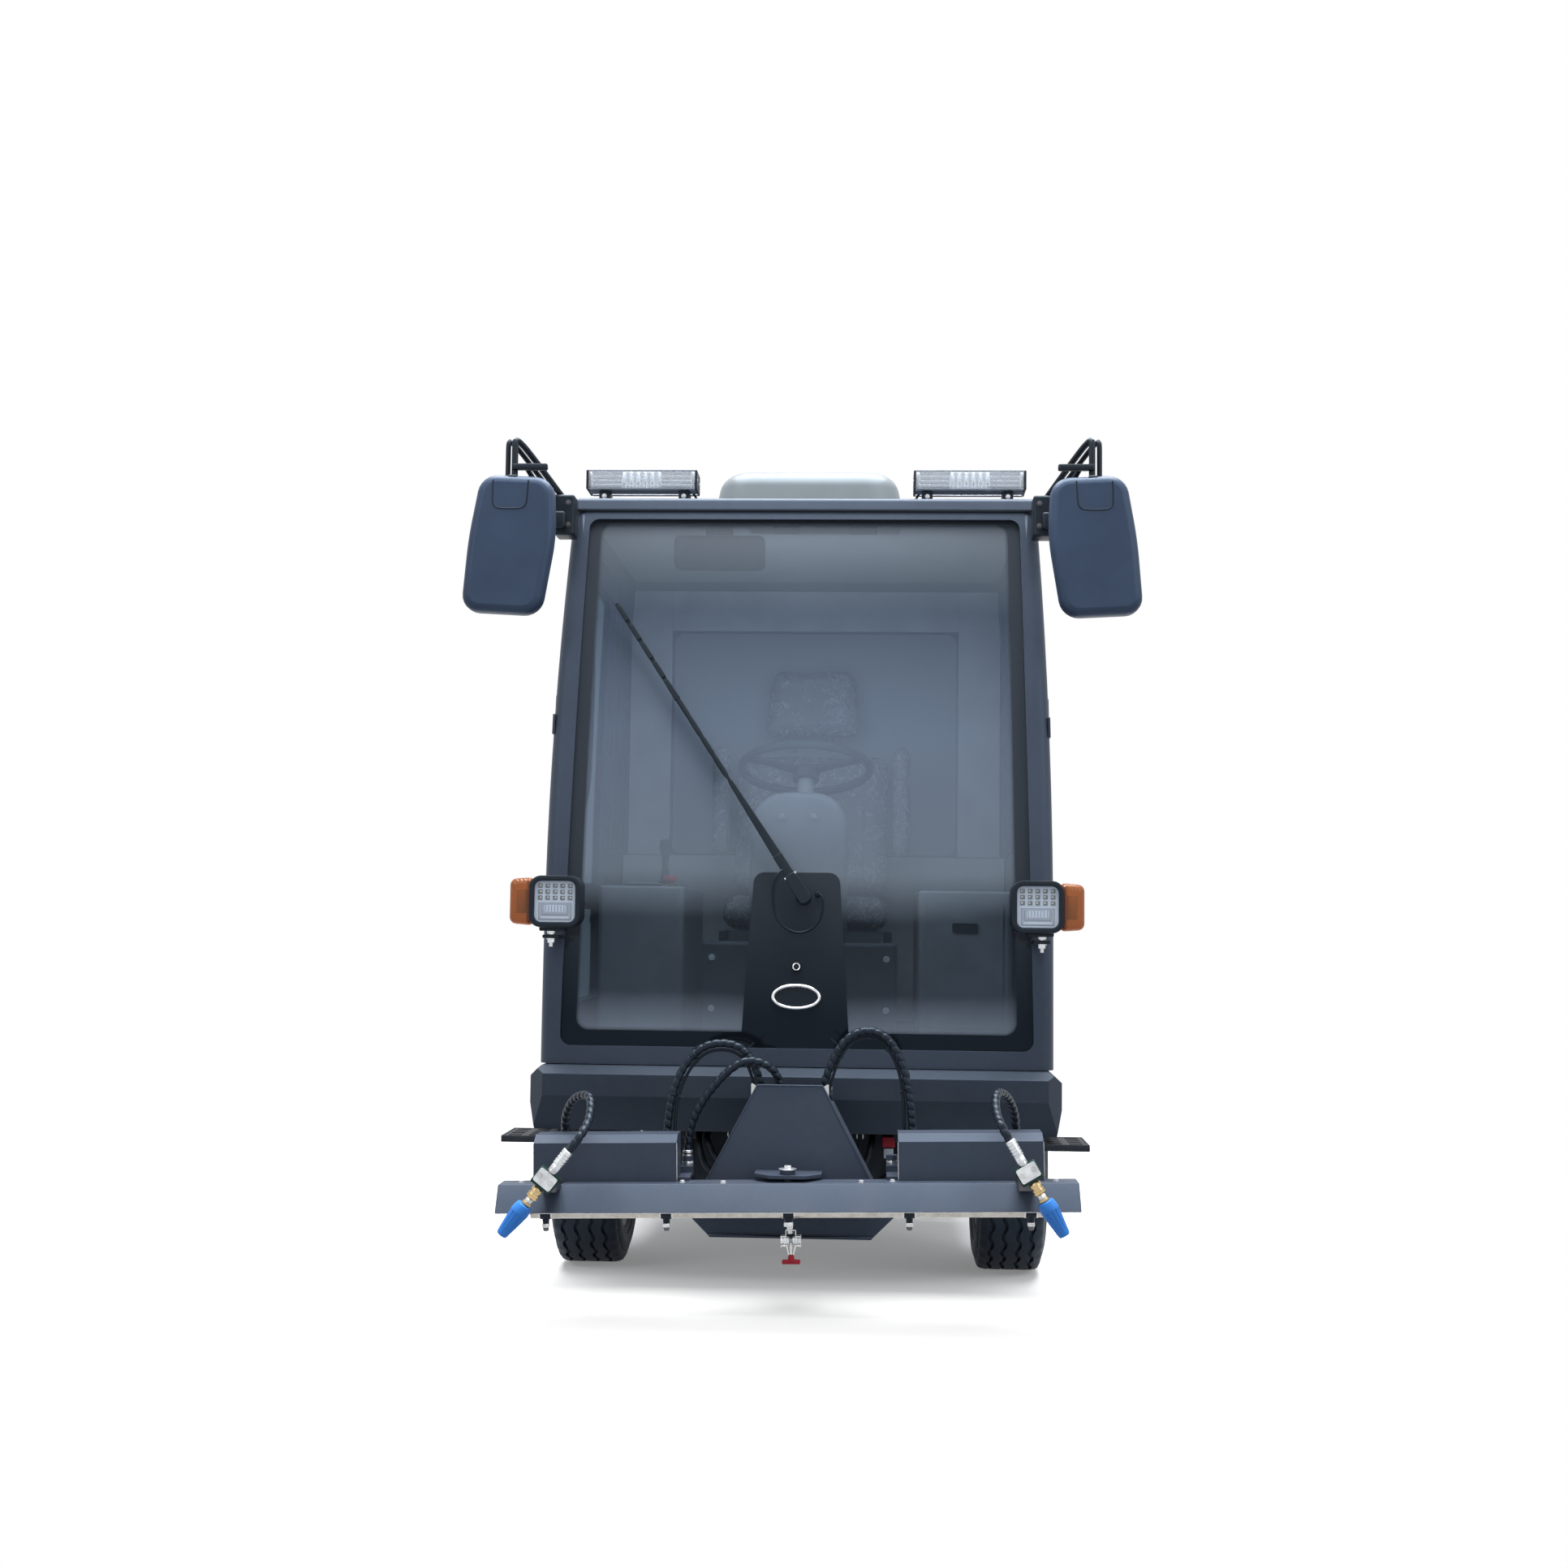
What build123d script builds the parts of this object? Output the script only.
# Compact street washing vehicle: a one-seat glazed cab, a washing body behind it and a spray bar
# carried ahead of the front bumper.  Millimetres, +Z up, front towards -Y, width along X.
# The origin is on the ground under the middle of the vehicle.
from build123d import *
import os
from math import asin, cos, degrees, pi, radians, sin, sqrt, tan

os.makedirs("parts", exist_ok=True)

# ---------------------------------------------------------------- driving dimensions
# fits
FIT = 0.3                     # gap of a piece seated in or on another
PIN_FIT = 0.05                # radial clearance of a pin in its bore
DOOR_GAP = 5.0                # gap round a door in its opening

# running gear
TYRE_R = 275.0
TYRE_W = 182.0
RIM_R = 160.0
HUB_R = 58.0
WHEEL_HOLES = 8
WHEEL_HOLE_R = 15.0
WHEEL_X = 548.0               # middle of each tyre, from the centre line
AXLE_Y = 1000.0               # front axle at -AXLE_Y, rear axle at +AXLE_Y
AXLE_HALF = 40.0              # half the height of the front beam and of the rear casing
DIFF_R = 110.0                # bulge in the middle of the rear casing
KINGPIN_X = 443.0
KINGPIN_R = 14.0
KINGPIN_BOSS_R = 30.0
KINGPIN_BOSS_HALF = 35.0      # half the height of the boss between the knuckle's ears
KNUCKLE_HALF = 62.0           # half the height of the knuckle
EAR_GAP = 0.5                 # between the boss and each ear
STUB_R = 20.0
STUB_PAST = 30.0              # how far a stub axle runs past the middle of its tyre

# chassis
RAIL_DROP = 170.0             # underside of the rails below the tops of the tyres
RAIL_IN = 240.0
RAIL_W = 60.0
RAIL_H = 120.0
RAIL_Z0 = 2 * TYRE_R - RAIL_DROP
RAIL_Z1 = RAIL_Z0 + RAIL_H
CROSS_W = 60.0
CROSS_STEP = 20.0             # a cross member is this much shallower than the rails, above and below
SPRING_HALF = 330.0
SPRING_T = 26.0
SPRING_W = 50.0
MOUNT_R = 28.0
BATTERY_DROP = 80.0           # below the rails

# cab
CAB_FRONT = -1470.0
CAB_REAR = -200.0
CAB_HALF = 632.0              # half width at the sill
CAB_LIFT = 58.0               # rubber mounts between the rails and the cab
CAB_H = 1417.0
CAB_Z0 = RAIL_Z1 + CAB_LIFT
CAB_Z1 = CAB_Z0 + CAB_H
CAB_WAIST = CAB_Z0 + 342.0    # above this the sides curve inwards
SIDE_ARC_R = 18300.0
FRONT_ARC_R = 6000.0          # the front curves back above the sill
CORNER_R = 34.0               # round of the two front corners
CAB_WALL = 36.0
CAB_FLOOR = 40.0
ROOF_T = 32.0
ROOF_ROUND = 14.0
ARCH_R = 380.0
ARCH_RISE = 48.0              # height of each wheel arch in the cab's underside

# glass
GLASS_T = 6.0
SCREEN_Z = (CAB_Z0 + 44.0, CAB_Z1 - 27.0)
SCREEN_HALF = (582.0, 554.0)  # half the width of the screen opening at its foot and at its top
SCREEN_R = 26.0
SCREEN_SET_BACK = 13.0
PANE_SET_BACK = 12.0          # side and rear panes, from the outside of the cab
PANE_R = 30.0
BACK_HALF = 440.0
BACK_Z = (CAB_Z0 + 562.0, CAB_Z1 - 165.0)

# cab doors
DOOR_Z = (CAB_Z0 + 67.0, CAB_Z1 - 75.0)
DOOR_Y_FRONT = (-1360.0, -1215.0)  # the front edge leans back from the sill to the roof
DOOR_Y_REAR = -560.0
DOOR_R = 45.0
SASH = 62.0
SASH_Z = (CAB_Z0 + 387.0, CAB_Z0 + 452.0)  # the rail between the lower and the upper pane
HINGE_Z = (CAB_Z0 + 162.0, CAB_Z0 + 872.0)
HINGE_H = 50.0
HINGE_R = 11.0
HINGE_PIN_R = 4.0
HINGE_X = CAB_HALF + 16.0
HINGE_Y = DOOR_Y_FRONT[0] + 8.0
HANDLE_Z = sum(SASH_Z) / 2
HANDLE_HALF = 12.0
HANDLE_Y = (-690.0, -590.0)
HANDLE_OUT = 26.0
HANDLE_WALL = 12.0

# on the cab
AIRCON_HALF = 266.0
AIRCON_Y = (-1010.0, -360.0)
AIRCON_H = 148.0
LIGHT_BAR_X = (284.0, CAB_HALF - 55.0)
LIGHT_BAR_Y = (-1240.0, -1150.0)
LIGHT_BAR_H = 52.0
LIGHT_BAR_FOOT = 34.0
LAMP_X = (CAB_HALF - 117.0, CAB_HALF + 13.0)
LAMP_Y = (CAB_FRONT - 130.0, CAB_FRONT - 50.0)
LAMP_Z = (CAB_Z0 + 329.0, CAB_Z0 + 460.0)
MARKER_OUT = 47.0
MIRROR_ARM_R = 8.0
BUMPER_Z = (RAIL_Z0 + 21.0, CAB_Z0 - 2.0)
BUMPER_FRONT = CAB_FRONT - 60.0
BUMPER_HALF = 648.0
BUMPER_WALL = 28.0
WING_END = -AXLE_Y - TYRE_R - 70.0  # the bumper and the steps end here, clear of the steered tyres
STEP_X = (550.0, 712.0)
STEP_T = 16.0
WIPER_Z = CAB_Z0 + 416.0
WIPER_X = 15.0
WIPER_LENGTH = 890.0
WIPER_REST = 34.0             # degrees from upright, to the driver's right
WIPER_DIP = 2.2               # how far the arm leans in towards the glass

# inside the cab
FLOOR = CAB_Z0 + CAB_FLOOR
WHEEL_CENTRE = (-950.0, FLOOR + 732.0)
WHEEL_TILT = 17.5             # the steering wheel's far edge is the higher one
WHEEL_RING_R = 175.0
WHEEL_GRIP_R = 12.0
COLUMN_TOP = -34.0            # along the column, from the middle of the steering wheel
SEAT_TOP = FLOOR + 287.0
SEAT_HALF = 245.0
SEAT_Y = (-905.0, -470.0)
CUSHION_T = 100.0
SEAT_LEAN = 9.0
BACK_H = 455.0
HEADREST_Z = (496.0, 690.0)   # along the leaning back
CONSOLE_Y = (-950.0, -330.0)
CONSOLE_X = (330.0, CAB_HALF - 67.0)
CABINET_X = (310.0, CAB_HALF - 67.0)
CONSOLE_H = 407.0
CABINET_H = 402.0

# washing body
BODY_Y = (-140.0, 1900.0)
BODY_HALF = 640.0
BODY_H = 1050.0
RUNNER_H = 100.0              # runners between the rails and the deck
BODY_Z = (RAIL_Z1 + RUNNER_H, RAIL_Z1 + RUNNER_H + BODY_H)
BODY_WALL = 30.0
DECK_T = 30.0
DECK_TOP = BODY_Z[0] + DECK_T
BODY_R = 70.0
LOCKER_Y = (150.0, 950.0)
LOCKER_Z = (BODY_Z[0] + 190.0, BODY_Z[1] - 230.0)
REAR_HALF = 500.0             # rear door opening
REAR_Z = (BODY_Z[0] + 180.0, BODY_Z[1] - 150.0)
DOOR_T = 26.0
LEAF = 40.0                   # width of a body door's hinge leaf
LEAF_END = 80.0               # the hinge stops this far short of the opening's ends
LEAF_PAD = 12.0
LEAF_PIN_R = 6.0
HINGE_OUT = 6.5               # the body doors' hinge pins stand this far out
HINGE_RISE = 4.0              # and this far above their openings
LID_Y = 250.0
LID_R = 170.0
NECK_R = (165.0, 150.0)       # outer and inner radius of the filler neck
NECK_H = 26.0
TANK_HALF = 330.0
TANK_Y = (BODY_Y[0] + BODY_WALL + 10.0, 1150.0)
TANK_R = 40.0
TANK_GAP = 12.0               # under the roof of the body
REEL_Y = BODY_Y[1] - 340.0
REEL_Z = DECK_TOP + 440.0
REEL_R = 230.0
REEL_HALF = 200.0             # half the drum's length
REEL_CHEEK = 6.0
DRUM_R = 90.0
HOSE_WOUND_R = 175.0
SHAFT_R = 14.0
STAND_T = 10.0
MUDGUARD_R = TYRE_R + 39.0
MUDGUARD_T = 6.0
RAIL_FRONT = CAB_FRONT
RAIL_REAR = BODY_Y[1] - 20.0
REAR_END = BODY_Y[1] + 85.0
REAR_BEAM = 60.0
REAR_BEAM_HALF = 600.0
REAR_BEAM_H = 80.0
HITCH = (120.0, 40.0)         # spacing of the four tow plate holes in the rear bumper
HITCH_HOLE_R = 6.5
CROSS_Y = (RAIL_FRONT + 30.0, -700.0, -190.0, 790.0, 1440.0, RAIL_REAR - 50.0)

# spray gear
PIVOT_Y = -1835.0
PIVOT_R = 10.0
PIVOT_HEAD_R = 17.0
BAR_HALF = 649.0
BAR_TOP = 330.0
BAR_TILT = -1.2               # the bar hangs a little lower at one end
BAR_T = 6.0
BAR_REAR = -1806.0
BAR_FLANGE = 34.0             # depth of the rear flange below the top
BAR_BEND = (-1880.0, BAR_TOP)  # the front plate slopes down from here
BAR_LIP = (-1920.0, BAR_TOP - 58.0)
HOOD_Y = -1765.0              # front of the tapered hood over the lift
HOOD_DEPTH = 110.0
HOOD_Z = (BAR_TOP - 24.0, BAR_TOP + 208.0)
HOOD_HALF = (198.0, 76.0)
HOOD_WALL = 5.0
GUIDE_X = 62.0
GUIDE_Y = -1612.0
GUIDE_R = 12.0
MAST_HALF = 95.0
MAST_Z = (BAR_TOP - 140.0, BAR_TOP + 190.0)
MAST_T = 15.0
SLIDER_Z = (BAR_TOP - 55.0, BAR_TOP + 45.0)
HOSE_R = 9.5
NOZZLE_X = (-538.0, -268.0, 4.0, 272.0, 540.0)
PIPE_Y = -1893.0
PIPE_Z = BAR_TOP - 62.0
PIPE_R = 11.0
PIPE_HALF = 572.0
HANGER_X = (-400.0, -140.0, 140.0, 400.0)
COVER_X = (250.0, 575.0)
COVER_Y = (-1840.0, -1742.0)
COVER_TOP = BAR_TOP + 103.0
COVER_WALL = 4.0
COVER_CHAMFER = (30.0, 16.0)  # along Y and down
MANIFOLD_H = 22.0
PORT_R = 13.0
PORT_X = (236.0, 286.0, 522.0)
PORT_Y = COVER_Y[1] + 24.0
PORT_TOP = BAR_TOP + 44.0
LIFT_PORT_Y = -1694.0
LIFT_PORT_Z = 470.0
CLAMP_SIZE = (52.0, 42.0, 38.0)
CLAMP_Y = CLAMP_SIZE[1] / 2 - REAR_END
# the left and the right clamp: distance from the centre line, height, outward lean from straight down
CLAMPS = ((526.0, BAR_TOP + 23.0, 39.5), (530.0, BAR_TOP + 34.0, 29.5))
HOSE_END = 80.0               # from the clamp's middle back to the end of the side hose
CONE_R = (21.0, 12.0)
CONE_H = 84.0


# ---------------------------------------------------------------- helpers
def block(x, y, z):
    """A box between two corners, each axis given as (low, high)."""
    low = (min(x), min(y), min(z))
    high = (max(x), max(y), max(z))
    size = [b - a for a, b in zip(low, high)]
    middle = [(a + b) / 2 for a, b in zip(low, high)]
    return Pos(*middle) * Box(*size)


def about(middle, half):
    """The two ends of a span, from its middle and half its length."""
    return (middle - half, middle + half)


def flip(shape):
    """The same piece on the other side of the vehicle."""
    return mirror(shape, about=Plane.YZ)


def pair(shape):
    return [shape, flip(shape)]


def cylinder_x(radius, x, y, z):
    length = x[1] - x[0]
    return Pos((x[0] + x[1]) / 2, y, z) * Rot(0, 90, 0) * Cylinder(radius, length)


def cylinder_y(radius, x, y, z):
    length = y[1] - y[0]
    return Pos(x, (y[0] + y[1]) / 2, z) * Rot(90, 0, 0) * Cylinder(radius, length)


def cylinder_z(radius, x, y, z):
    return Pos(x, y, (z[0] + z[1]) / 2) * Cylinder(radius, z[1] - z[0])


def side_prism(points, x, radius=0.0):
    """An outline in Y and Z, rounded at its corners, pushed along X."""
    face = make_face(Plane.YZ * Polyline(*points, close=True))
    if radius:
        face = fillet(face.vertices(), radius)
    return extrude(Pos(x[0], 0, 0) * face, x[1] - x[0], dir=(1, 0, 0))


def front_prism(points, y, radius=0.0):
    """An outline in X and Z, rounded at its corners, pushed along Y."""
    face = make_face(Plane.XZ * Polyline(*points, close=True))
    if radius:
        face = fillet(face.vertices(), radius)
    return extrude(Pos(0, y[0], 0) * face, y[1] - y[0], dir=(0, 1, 0))


def plan_prism(points, z, radius=0.0):
    """An outline in X and Y, rounded at its corners, pushed along Z."""
    face = make_face(Plane.XY * Polyline(*points, close=True))
    if radius:
        face = fillet(face.vertices(), radius)
    return extrude(Pos(0, 0, z[0]) * face, z[1] - z[0], dir=(0, 0, 1))


def rectangle(across, up, inset=0.0):
    """The corners of a rectangle from its two spans, set inwards."""
    left, right = across[0] + inset, across[1] - inset
    low, high = up[0] + inset, up[1] - inset
    return [(left, low), (right, low), (right, high), (left, high)]


def rod(start, end, radius):
    """A round bar between two points."""
    line = Line(start, end)
    return sweep(Plane(origin=start, z_dir=line % 0) * Circle(radius), path=line)


def tube_through(points, radius, name):
    """A round tube along straight runs joined by arcs as large as the runs allow."""
    corners = [Vector(*p) for p in points]
    radii = []
    for before, here, after in zip(corners, corners[1:], corners[2:]):
        into = here - before
        out = after - here
        turn = radians(into.get_angle(out))
        radii.append(0.45 * min(into.length, out.length) / tan(turn / 2))
    path = FilletPolyline(*points, radius=radii)
    tube = sweep(Plane(origin=path @ 0, z_dir=path % 0) * Circle(radius), path=path)
    expected = path.length * pi * radius ** 2
    print(f"{name}: length {path.length:.0f}, radii {[round(r) for r in radii]},"
          f" volume ratio {tube.volume / expected:.4f}")
    return tube


def save(node, *shapes):
    """Write one node, as one solid or as several that don't touch."""
    solids = []
    for shape in shapes:
        for item in (shape if isinstance(shape, (list, tuple)) else [shape]):
            solids.extend(item.solids())
    whole = solids[0] if len(solids) == 1 else Compound(children=solids)
    export_step(whole, f"parts/{node}.step")


# ---------------------------------------------------------------- the cab's form
PAST = 50.0                   # how far a cutting form runs past what it cuts


def front_y(z, inset=0.0):
    """Where the curved front of the cab is at a height."""
    radius = FRONT_ARC_R - inset
    rise = z - CAB_Z0
    return CAB_FRONT + FRONT_ARC_R - sqrt(radius ** 2 - rise ** 2)


def side_x(z, inset=0.0):
    """Half the width of the cab at a height."""
    rise = max(0.0, z - CAB_WAIST)
    radius = SIDE_ARC_R - inset
    return CAB_HALF - SIDE_ARC_R + sqrt(radius ** 2 - rise ** 2)


def cab_block(z, side=0.0, front=0.0, rear=0.0):
    """The cab's outer form between two heights, set inwards at the sides, front and rear."""
    low, high = z
    middle = (low + high) / 2
    bottom_point = (front_y(low, front), low)
    middle_point = (front_y(middle, front), middle)
    top_point = (front_y(high, front), high)
    back = CAB_REAR - rear
    outline = [ThreePointArc(bottom_point, middle_point, top_point),
               Polyline(top_point, (back, high), (back, low), bottom_point)]
    length = extrude(Plane.YZ * make_face(outline), CAB_HALF + 2 * PAST, both=True)
    waist = max(low, CAB_WAIST)
    middle = (waist + high) / 2
    right = [ThreePointArc((side_x(waist, side), waist), (side_x(middle, side), middle),
                           (side_x(high, side), high))]
    left = [ThreePointArc((-side_x(waist, side), waist), (-side_x(middle, side), middle),
                          (-side_x(high, side), high))]
    top = [Line((side_x(high, side), high), (-side_x(high, side), high))]
    half = side_x(waist, side)
    if low < waist:
        bottom = [Polyline((-half, waist), (-half, low), (half, low), (half, waist))]
    else:
        bottom = [Line((-half, waist), (half, waist))]
    width = extrude(Plane.XZ * make_face(right + top + left + bottom), -2 * CAB_FRONT, both=True)
    return length & width


def side_sheet(near, thick):
    """A sheet that follows both sides of the cab, this far in from the outside."""
    inner = cab_block((CAB_Z0 - 1, CAB_Z1 + 1), near + thick, -PAST, -PAST)
    return cab_block((CAB_Z0, CAB_Z1), near) - inner


def screen_sheet(near, thick):
    """A sheet that follows the front of the cab, this far back from it."""
    inner = cab_block((CAB_Z0, CAB_Z1), -PAST, near + thick, -PAST)
    return cab_block((CAB_Z0 + 1, CAB_Z1 - 1), 0, near) - inner


def door_front(z):
    """The slanted front edge of the door opening at a height."""
    share = (z - DOOR_Z[0]) / (DOOR_Z[1] - DOOR_Z[0])
    return DOOR_Y_FRONT[0] + share * (DOOR_Y_FRONT[1] - DOOR_Y_FRONT[0])


def door_outline(z, inset):
    """A four-sided outline in Y and Z that follows the door opening, set inwards."""
    low, high = z
    back = DOOR_Y_REAR - inset
    return [(door_front(low) + inset, low), (back, low), (back, high), (door_front(high) + inset, high)]


def screen_outline(inset):
    low = SCREEN_Z[0] + inset
    high = SCREEN_Z[1] - inset
    wide = SCREEN_HALF[0] - inset
    narrow = SCREEN_HALF[1] - inset
    return [(-wide, low), (wide, low), (narrow, high), (-narrow, high)]


ONE_SIDE = (CAB_HALF - 132.0, CAB_HALF + 68.0)      # spans one side wall of the cab
BOTH_SIDES = (-CAB_HALF - 68.0, CAB_HALF + 68.0)
EDGE = DOOR_GAP + SASH
UPPER_PANE_Z = (SASH_Z[1], DOOR_Z[1] - EDGE)
LOWER_PANE_Z = (DOOR_Z[0] + EDGE, SASH_Z[0])
QUARTER = ((DOOR_Y_REAR + 65.0, CAB_REAR - 90.0), (CAB_Z0 + 562.0, UPPER_PANE_Z[1]))


# ---------------------------------------------------------------- cab
def make_cab():
    outer = cab_block((CAB_Z0, CAB_Z1))
    upright = outer.edges().filter_by(lambda e: e.length > CAB_H / 5)
    front = upright.filter_by(lambda e: e.center().Y < 0.8 * CAB_FRONT)
    front_corners = front.filter_by(lambda e: abs(e.center().X) > CAB_HALF / 2)
    outer = fillet(front_corners, CORNER_R)
    inner = cab_block((FLOOR, CAB_Z1 + 1), CAB_WALL, CAB_WALL, CAB_WALL)
    frame = outer - inner
    frame -= front_prism(screen_outline(0), (CAB_FRONT - 130, CAB_FRONT + 270), SCREEN_R)
    frame -= side_prism(door_outline(DOOR_Z, 0), BOTH_SIDES, DOOR_R)
    frame -= side_prism(rectangle(*QUARTER), BOTH_SIDES, PANE_R)
    frame -= front_prism(rectangle((-BACK_HALF, BACK_HALF), BACK_Z), about(CAB_REAR, 2 * PAST), PANE_R)
    arch_x = (RAIL_IN + RAIL_W + 30, CAB_HALF + 68)
    arches = pair(cylinder_x(ARCH_R, arch_x, -AXLE_Y, CAB_Z0 + ARCH_RISE - ARCH_R))
    for arch in arches:
        frame -= arch & block(BOTH_SIDES, (2 * CAB_FRONT, 0), (0, FLOOR - 1))
    for z in HINGE_Z:
        knuckle_z = (z - HINGE_H - 1, z - 1)
        post = cylinder_z(HINGE_R, HINGE_X, HINGE_Y, knuckle_z)
        post += cylinder_z(HINGE_PIN_R, HINGE_X, HINGE_Y, (z - 20, z + 30))
        post += block((side_x(z) - 4, HINGE_X), (HINGE_Y - 48, HINGE_Y), knuckle_z)
        frame += pair(post)
    save("cab_frame", frame)

    roof = cab_block((CAB_Z1 + FIT, CAB_Z1 + FIT + ROOF_T))
    roof = fillet(roof.faces().sort_by(Axis.Z)[-1].edges(), ROOF_ROUND)
    save("cab_roof", roof)

    screen_cut = front_prism(screen_outline(FIT), (CAB_FRONT - 130, CAB_FRONT + 270), SCREEN_R - FIT)
    save("windscreen", screen_sheet(SCREEN_SET_BACK, GLASS_T) & screen_cut)

    back_y = (CAB_REAR - PANE_SET_BACK - GLASS_T, CAB_REAR - PANE_SET_BACK)
    back_pane = front_prism(rectangle((-BACK_HALF, BACK_HALF), BACK_Z, FIT), back_y, PANE_R - FIT)
    quarter_cut = side_prism(rectangle(*QUARTER, FIT), ONE_SIDE, PANE_R - FIT)
    quarter = side_sheet(PANE_SET_BACK, GLASS_T) & quarter_cut
    save("cab_rear_glass", back_pane, pair(quarter))


def make_doors():
    leaf_z = (DOOR_Z[0] + DOOR_GAP, DOOR_Z[1] - DOOR_GAP)
    leaf = side_sheet(0, CAB_WALL) & side_prism(door_outline(leaf_z, DOOR_GAP), ONE_SIDE, DOOR_R - DOOR_GAP)
    for z in (UPPER_PANE_Z, LOWER_PANE_Z):
        leaf -= side_prism(door_outline(z, EDGE), ONE_SIDE, PANE_R)
    hinges = []
    for z in HINGE_Z:
        over = side_x(z) + 1
        strap_z = (z, z + HINGE_H)
        strap_end = door_front(z) + 60
        barrel = cylinder_z(HINGE_R, HINGE_X, HINGE_Y, strap_z)
        strap = block((over, HINGE_X + 5), (HINGE_Y, strap_end), strap_z)
        pad = block((over - 6, over + 1), (strap_end - 42, strap_end), strap_z)
        hinges.append(barrel + strap + pad)
    handle_x = (side_x(HANDLE_Z) - 2, CAB_HALF + HANDLE_OUT)
    handle = block(handle_x, HANDLE_Y, about(HANDLE_Z, HANDLE_HALF))
    finger_x = (CAB_HALF + 2, CAB_HALF + HANDLE_OUT - HANDLE_WALL)
    handle -= block(finger_x, (HANDLE_Y[0] + 15, HANDLE_Y[1] - 15), about(HANDLE_Z, HANDLE_HALF + 8))
    door = leaf + hinges + handle
    for z in HINGE_Z:
        door -= cylinder_z(HINGE_PIN_R + PIN_FIT, HINGE_X, HINGE_Y, (z - 1, z + 31))
    glass = []
    for low, high in (UPPER_PANE_Z, LOWER_PANE_Z):
        hole = door_outline((low + FIT, high - FIT), EDGE + FIT)
        glass.append(side_sheet(PANE_SET_BACK, GLASS_T) & side_prism(hole, ONE_SIDE, PANE_R - FIT))
    save("door_right", door)
    save("door_left", flip(door))
    save("door_glass_right", glass)
    save("door_glass_left", [flip(g) for g in glass])


def make_mirror():
    """The head's outline is as seen from the front; two arms carry it from a bracket on the pillar."""
    side = CAB_HALF
    top = CAB_Z1
    y = CAB_FRONT - 27
    outline = [(side + 167, top + 35), (side + 20, top + 21), (side + 8, top - 75), (side + 30, top - 285),
               (side + 68, top - 301), (side + 211, top - 291), (side + 204, top - 175)]
    head = front_prism(outline, (CAB_FRONT - 65, CAB_FRONT + 10), 16)
    head = fillet(head.faces().sort_by(Axis.Y)[0].edges() + head.faces().sort_by(Axis.Y)[-1].edges(), 14)
    arm = tube_through([(side + 86, y, top + 15), (side + 86, y, top + 133), (side - 32, y + 152, top)],
                       MIRROR_ARM_R, "mirror arm")
    arm += rod((side - 20, y + 152, top - 70), (side + 58, y + 7, top + 85), MIRROR_ARM_R - 1)
    bracket = block((side - 54, side), (y + 145, front_y(top - 90)), (top - 90, top + 23))
    arm += bracket - cab_block((CAB_Z0, CAB_Z1), -PAST, 0)
    save("mirrors", pair(head), pair(arm - head))


def make_cab_outside():
    top = CAB_Z1 + FIT + ROOF_T
    dome = plan_prism(rectangle((-AIRCON_HALF, AIRCON_HALF), AIRCON_Y), (top, top + AIRCON_H), 90)
    crown = dome.faces().sort_by(Axis.Z)[-1].edges()
    save("roof_air_conditioner", fillet(crown, 60))

    bar_z = top + LIGHT_BAR_FOOT
    bars = []
    for shape in pair(block(LIGHT_BAR_X, LIGHT_BAR_Y, (bar_z, bar_z + LIGHT_BAR_H))):
        bars.append(fillet(shape.edges(), 6))
    foot_y = (LIGHT_BAR_Y[0] + 15, LIGHT_BAR_Y[1] - 15)
    for x in (LIGHT_BAR_X[0] + 36, LIGHT_BAR_X[1] - 47):
        bars.extend(pair(block(about(x, 14), foot_y, (top, bar_z - FIT))))
    save("light_bars", bars)

    lamp = fillet(block(LAMP_X, LAMP_Y, LAMP_Z).edges(), 16)
    marker_x = (LAMP_X[1] + FIT, LAMP_X[1] + MARKER_OUT)
    marker = block(marker_x, (LAMP_Y[0] + 10, LAMP_Y[1] - 15), (LAMP_Z[0] + 13, LAMP_Z[1] - 10))
    marker = fillet(marker.faces().sort_by(Axis.X)[-1].edges(), 14)
    stay_x = (LAMP_X[0] + 57, LAMP_X[1] - 33)
    stay_z = LAMP_Z[0] - 21
    bolt_x = sum(stay_x) / 2
    bolt_y = sum(LAMP_Y) / 2
    stay = block(stay_x, (bolt_y - 12, front_y(stay_z)), (stay_z, stay_z + 8))
    stay += cylinder_z(6, bolt_x, bolt_y, (stay_z - 16, LAMP_Z[0] - FIT))
    save("head_lamps", pair(lamp), pair(marker), pair(stay))


def make_wiper():
    """The arm lies back against the curve of the screen, which it only meets half way up the blade."""
    lean = degrees(asin((WIPER_Z - CAB_Z0) / FRONT_ARC_R))
    place = Pos(WIPER_X, front_y(WIPER_Z, SCREEN_SET_BACK), WIPER_Z) * Rot(-lean, 0, 0)
    boss = cylinder_y(19, 0, (-30, -FIT), 0)
    arm_end = 0.6 * WIPER_LENGTH
    arm = front_prism([(-15, -14), (15, -14), (8, arm_end), (-8, arm_end)], (-34, -26))
    blade = block((-6, 6), (-34, -10), (0.4 * WIPER_LENGTH, WIPER_LENGTH))
    swing = Rot(0, -WIPER_REST, 0) * Rot(-WIPER_DIP, 0, 0)
    save("wiper", place * (boss + swing * (arm + blade)))


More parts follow.
